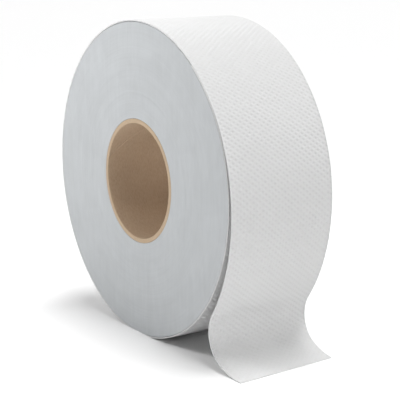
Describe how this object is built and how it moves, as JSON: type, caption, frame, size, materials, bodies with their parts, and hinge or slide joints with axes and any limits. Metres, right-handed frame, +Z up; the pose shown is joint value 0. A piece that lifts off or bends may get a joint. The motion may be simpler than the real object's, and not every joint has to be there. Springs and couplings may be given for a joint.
{
  "type": "toilet paper roll",
  "caption": "Jumbo toilet paper roll on a wide cardboard core, standing on its side with the loose end of the web curving down to the table.",
  "frame": {"origin": "centre of the core's bore, halfway along it", "axes": "+Y along the bore, +Z up as the roll stands, +X to the side where the loose end hangs"},
  "size_m": [0.2437, 0.084, 0.2276],
  "materials": {
    "tissue": "matte",
    "core_board": "matte"
  },
  "bodies": {
    "root": {"tissue_web": "tissue", "core": "core_board"}
  },
  "joints": []
}
